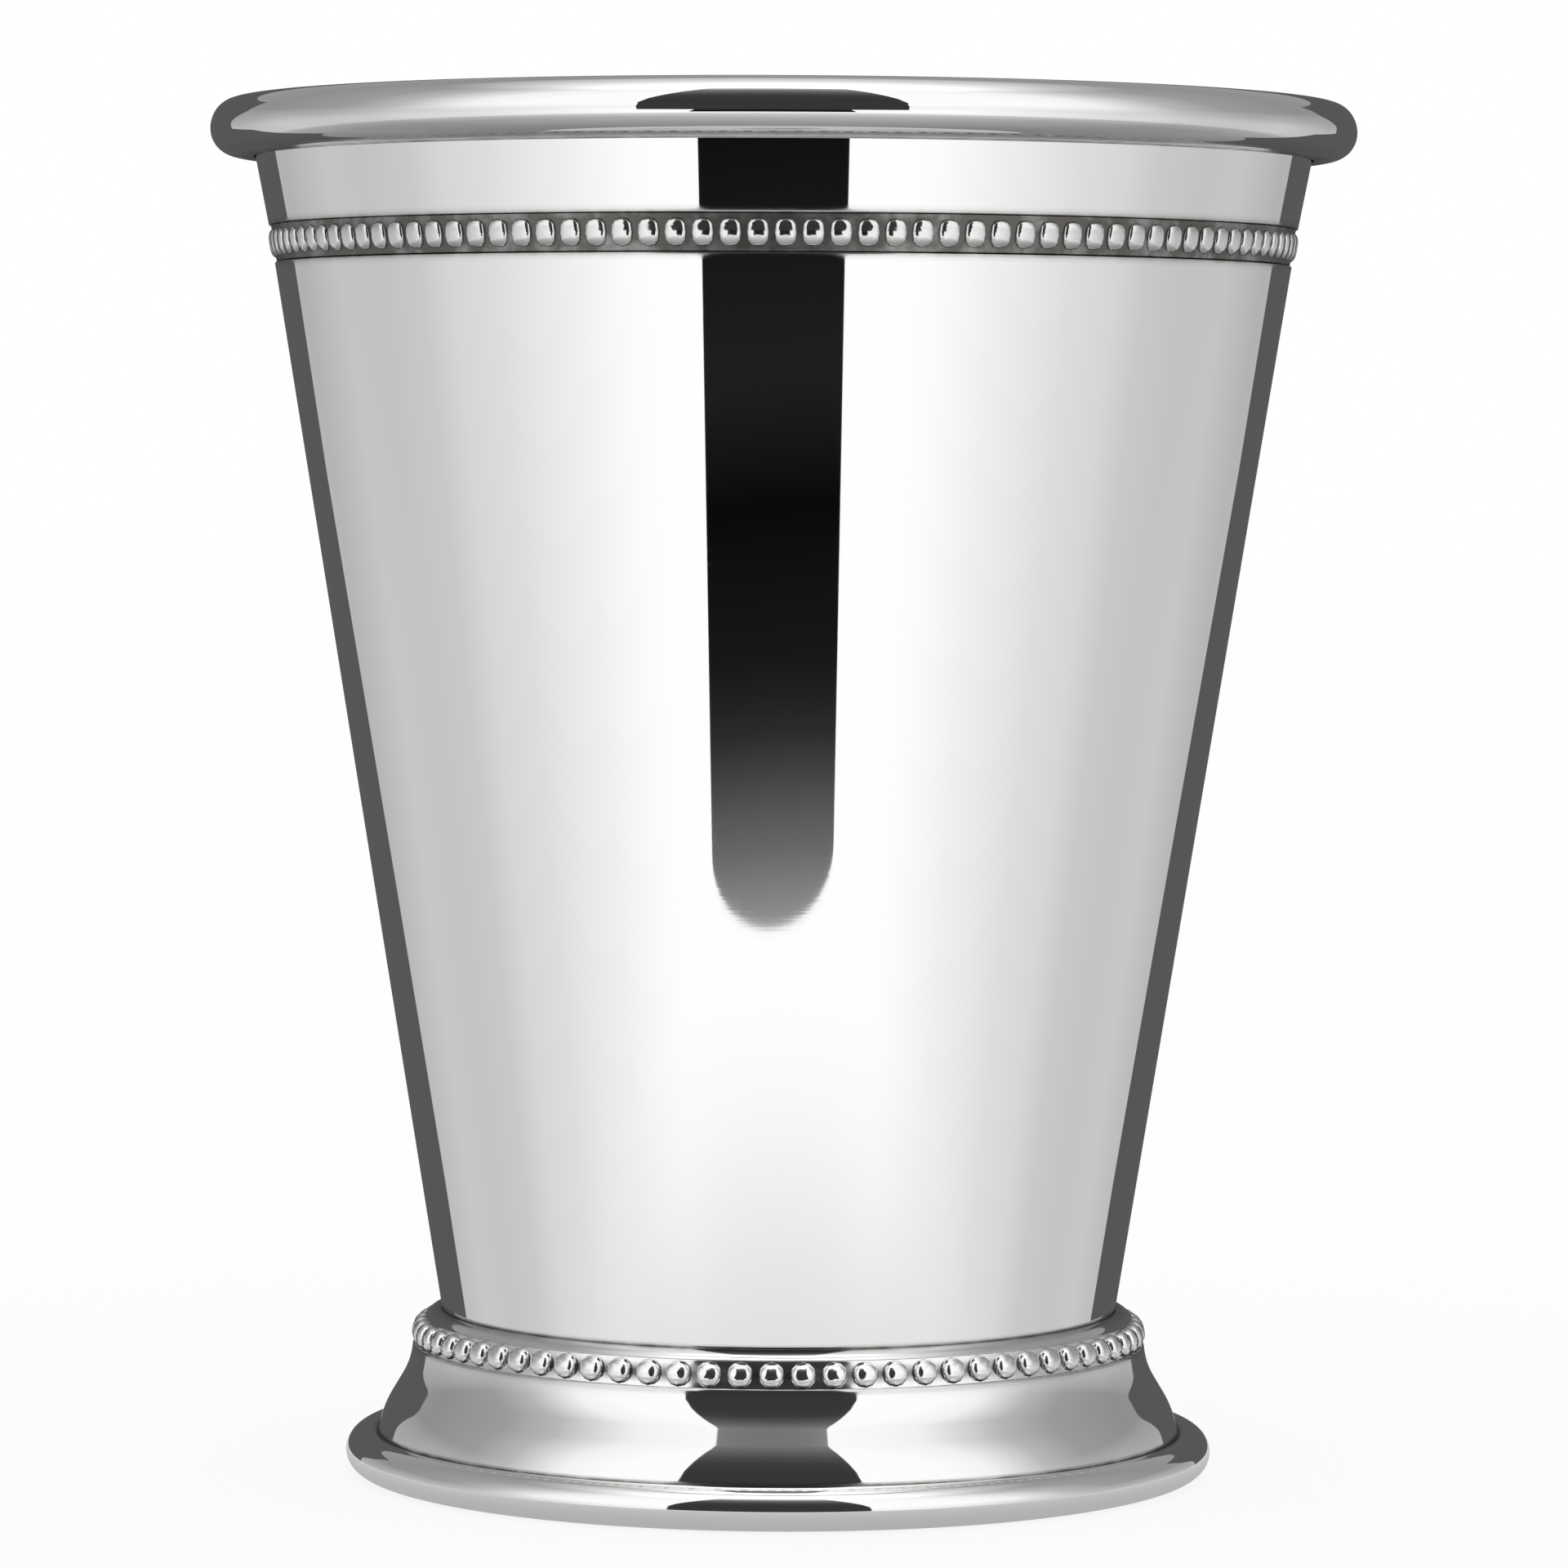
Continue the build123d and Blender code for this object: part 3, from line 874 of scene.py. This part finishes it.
def onlyReflected(made):
    made.visible_camera = False
    made.visible_diffuse = False
    made.visible_shadow = False
    return made


def gridFaces(rows, columns):
    # quads of a grid whose points were listed row by row
    wide = columns + 1
    corners = [wide * i + k for i in range(rows) for k in range(columns)]
    return [(a, a + 1, a + wide + 1, a + wide) for a in corners]


def rampNode(tree, value, stops, low=0.0, high=1.0):
    share = node(tree, "ShaderNodeMapRange", {"Value": value, "From Min": low, "From Max": high}).outputs[0]
    ramp = node(tree, "ShaderNodeValToRGB", {0: share})
    points = ramp.color_ramp.elements
    while len(points) < len(stops):
        points.new(0.5)
    for point, (place, shade) in zip(points, stops):
        point.position = (place - low) / (high - low)
        point.color = (shade, shade, shade, 1)
    return ramp.outputs[0]


def emissionMaterial(name):
    material, tree = newMaterial(name)
    material.cycles.emission_sampling = "NONE"
    tree.nodes.clear()
    light = node(tree, "ShaderNodeEmission", {"Strength": 1.0})
    node(tree, "ShaderNodeOutputMaterial", {"Surface": light.outputs[0]})
    return material, tree, light.inputs["Color"]


def lookup(table, x):
    for (a, va), (b, vb) in zip(table, table[1:]):
        if x <= b:
            return va + (vb - va) * (x - a) / (b - a)
    return table[-1][1]


def makeTent():
    material, tree, colour = emissionMaterial("tentCloth")
    unit = vectorNode(tree, "NORMALIZE", node(tree, "ShaderNodeTexCoord").outputs["Object"])
    parts = node(tree, "ShaderNodeSeparateXYZ", {0: unit}).outputs
    frontness = mathNode(tree, "MULTIPLY", parts[1], -1.0)

    def shades(value, label):
        return rampNode(tree, value, [(2 * p - 1, s) for p, s in studio[label]], -1.0, 1.0)

    height = node(tree, "ShaderNodeMapRange",
                  {"Value": parts[2], "From Min": studio["highFrom"], "From Max": studio["highTo"]})
    around = mixColours(tree, height.outputs[0], shades(frontness, "around"), shades(frontness, "aroundHigh"))
    tree.links.new(mixColours(tree, 1.0, around, shades(parts[2], "upward"), "MULTIPLY"), colour)
    ball = bmesh.new()
    bmesh.ops.create_uvsphere(ball, u_segments=64, v_segments=32, radius=studio["tentRadius"])
    mesh = bpy.data.meshes.new("lightTent")
    ball.to_mesh(mesh)
    ball.free()
    mesh.materials.append(material)
    tent = onlyReflected(addObject("lightTent", mesh))


def makeFrontGap(columns=8, rowEvery=2):
    material, tree, colour = emissionMaterial("frontGapDark")
    shape, shade, end = studio["gapShape"], studio["gapShade"], studio["gapEnd"]
    rise = node(tree, "ShaderNodeAttribute", attribute_name="rise").outputs["Fac"]
    tree.links.new(rampNode(tree, rise, shade, shade[0][0], shade[-1][0]), colour)
    low, high = shape[0][0], shape[-1][0]
    stops = [low + end * (1 - cos(radians(turn))) for turn in range(0, 91, 6)]
    stops = sorted(stops + [t for t, w in shape[1:]] + list(range(int(low) + 1, int(high), rowEvery)))
    turned = Matrix.Rotation(radians(studio["gapTurn"]), 3, "Z")
    verts, rises = [], []
    for t in stops:
        half = lookup(shape, t)
        if t < low + end:
            half *= sqrt(max(0.0, 1 - ((low + end - t) / end) ** 2))
        bend = studio["gapBend"] if t < studio["gapBendTo"] else -sin(radians(t)) / 2
        for k in range(columns + 1):
            w = radians(half * (2 * k / columns - 1))
            up = sin(radians(t)) + bend * w * w
            verts.append(turned @ Vector((sin(w), -sqrt(1 - sin(w) ** 2 - up**2), up)) * studio["gapRadius"])
            rises.append(t)
    gap = onlyReflected(stageObject("frontGap", verts, gridFaces(len(stops) - 1, columns), material))
    storeValues(gap.data, rise=rises)


def makeMirroredTable(sides=96):
    # a glowing disc with a painted shadow, darker near the foot
    material, tree, colour = emissionMaterial("mirroredTable")
    place = node(tree, "ShaderNodeTexCoord").outputs["Object"]
    away = node(tree, "ShaderNodeVectorMath", {0: place}, operation="LENGTH").outputs["Value"]
    stops = [(r * mm, s) for r, s in studio["tableShade"]]
    tree.links.new(rampNode(tree, away, stops, stops[0][0], stops[-1][0]), colour)
    radius, level = studio["tableRadius"] * mm, studio["tableLevel"] * mm
    ring = [(*onCircle((0, 0), radius, 360 * i / sides), level) for i in range(sides)]
    onlyReflected(stageObject("mirroredTable", ring, [tuple(range(sides))], material))


def makeBackWall(columns=24, rows=38):
    material, tree, colour = emissionMaterial("backWallDark")
    colour.default_value = (studio["wallShade"],) * 3 + (1,)
    low, high = studio["wallShape"][0][0], studio["wallShape"][-1][0]
    verts = []
    for i in range(columns + 1):
        for k in range(rows + 1):
            rise = low + (high - low) * k / rows
            a, e = radians(lookup(studio["wallShape"], rise) * (2 * i / columns - 1)), radians(rise)
            verts.append([studio["backRadius"] * x for x in (sin(a) * cos(e), cos(a) * cos(e), sin(e))])
    onlyReflected(stageObject("backWall", verts, gridFaces(columns, rows), material))


def makeFloor():
    material, tree = newMaterial("paleFloor")
    tree.nodes.clear()
    matte = node(tree, "ShaderNodeBsdfDiffuse", {"Color": studio["floorColour"]})
    white = node(tree, "ShaderNodeEmission", {"Strength": 1.0})
    seen = node(tree, "ShaderNodeLightPath").outputs["Is Camera Ray"]
    share = mathNode(tree, "MULTIPLY", seen, studio["floorWhite"])
    lit = node(tree, "ShaderNodeMixShader", {0: share, 1: matte.outputs[0], 2: white.outputs[0]})
    below = node(tree, "ShaderNodeNewGeometry").outputs["Backfacing"]
    clear = node(tree, "ShaderNodeBsdfTransparent")
    whole = node(tree, "ShaderNodeMixShader", {0: below, 1: lit.outputs[0], 2: clear.outputs[0]})
    node(tree, "ShaderNodeOutputMaterial", {"Surface": whole.outputs[0]})
    size, level = studio["floorSize"], studio["floorLevel"] * mm
    corners = [(x * size, y * size, level) for x, y in ((-1, -1), (1, -1), (1, 1), (-1, 1))]
    stageObject("floor", corners, [(0, 1, 2, 3)], material).visible_glossy = False


def makeWorld():
    world = bpy.data.worlds.new("whiteRoom")
    scene.world = world
    world.use_nodes = True
    tree = world.node_tree
    tree.nodes.clear()
    seen = node(tree, "ShaderNodeLightPath").outputs
    mirrored = mathNode(tree, "MAXIMUM", seen["Is Glossy Ray"], seen["Is Transmission Ray"])
    shown = mathNode(tree, "MAXIMUM", seen["Is Camera Ray"], mirrored)
    soft = node(tree, "ShaderNodeBackground", {"Color": (1, 1, 1, 1), "Strength": 1.0})
    white = node(tree, "ShaderNodeBackground", {"Color": (1, 1, 1, 1), "Strength": 1.0})
    mix = node(tree, "ShaderNodeMixShader", {0: shown, 1: soft.outputs[0], 2: white.outputs[0]})
    node(tree, "ShaderNodeOutputWorld", {"Surface": mix.outputs[0]})


makeTent()
makeFrontGap()
makeMirroredTable()
makeBackWall()
makeFloor()
makeWorld()
print("studio made")
